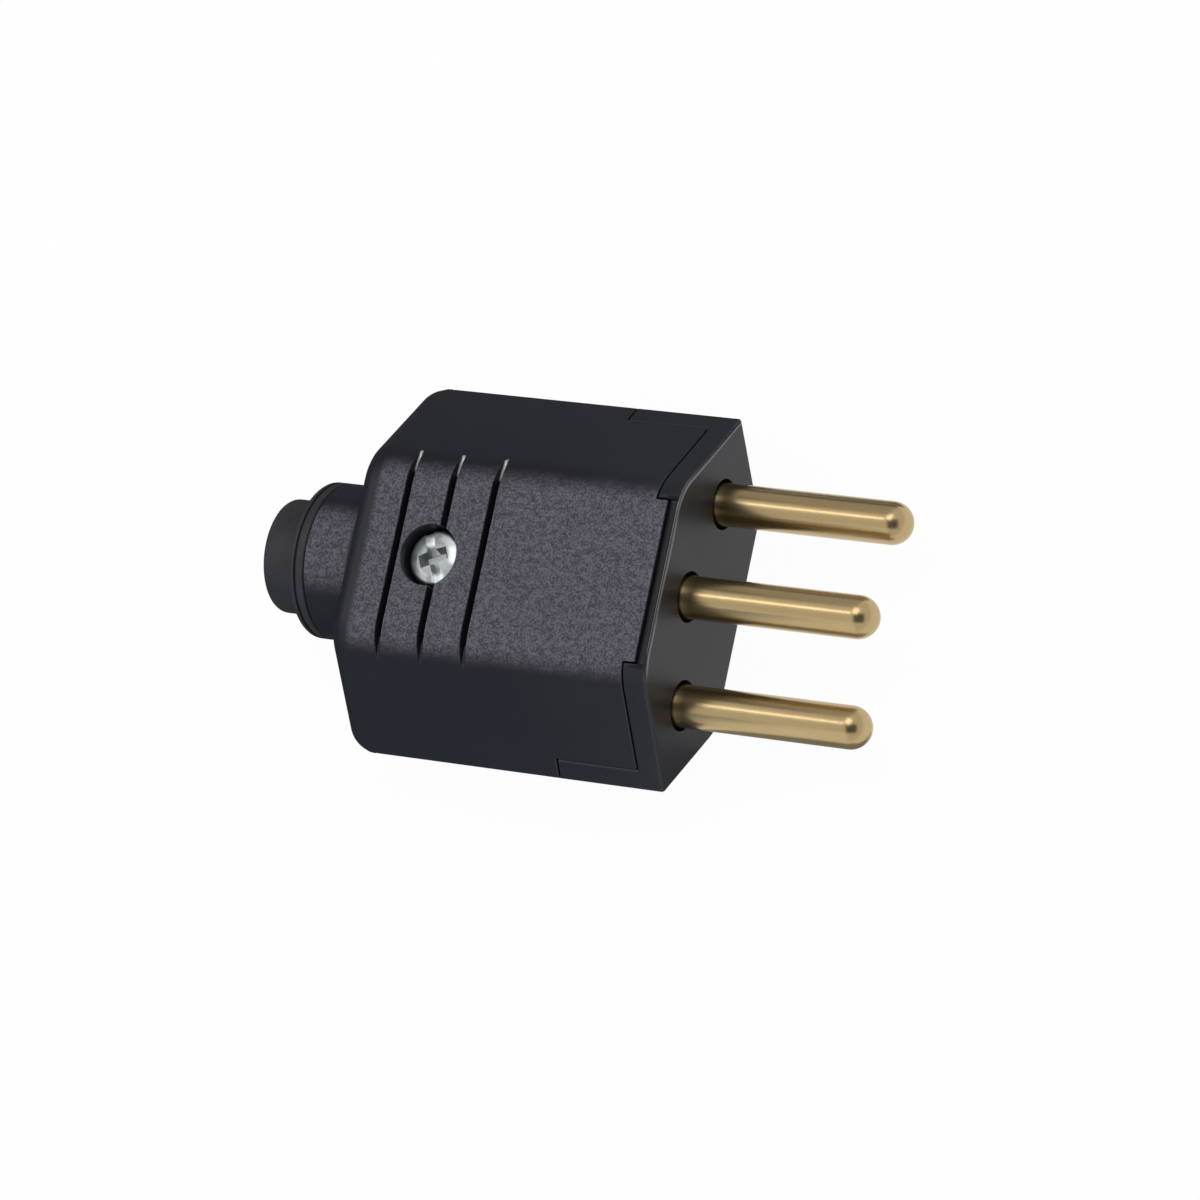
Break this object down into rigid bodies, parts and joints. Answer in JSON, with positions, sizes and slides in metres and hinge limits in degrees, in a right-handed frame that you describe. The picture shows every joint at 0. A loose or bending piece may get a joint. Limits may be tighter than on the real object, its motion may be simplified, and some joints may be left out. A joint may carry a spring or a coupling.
{
  "type": "power plug",
  "caption": "Rewireable power plug: hexagonal black moulded housing in screwed halves, round brass pins with an offset earth pin, grip grooves and a round cord grommet.",
  "frame": {"origin": "the pin face, midway between the axes of the live and neutral pins", "axes": "+X out along the pins, +Y from the neutral to the live pin, +Z out of the grooved cover, so the plug lies on its back"},
  "size_m": [0.0629, 0.0354, 0.0164],
  "materials": {
    "housing": "moulded, spark-textured on the cover's flat and satin on the sides",
    "brass": "bright turned",
    "zinc_steel": "bright zinc plate",
    "grommet": "satin"
  },
  "bodies": {
    "root": {"base_shell": "housing", "cover_shell": "housing", "cover_screw": "zinc_steel", "cover_nut": "zinc_steel", "live_pin": "brass", "neutral_pin": "brass", "earth_pin": "brass", "terminal_screws": "zinc_steel", "cable_grommet": "grommet", "cord_clamp": "housing", "clamp_screws": "zinc_steel"}
  },
  "joints": []
}
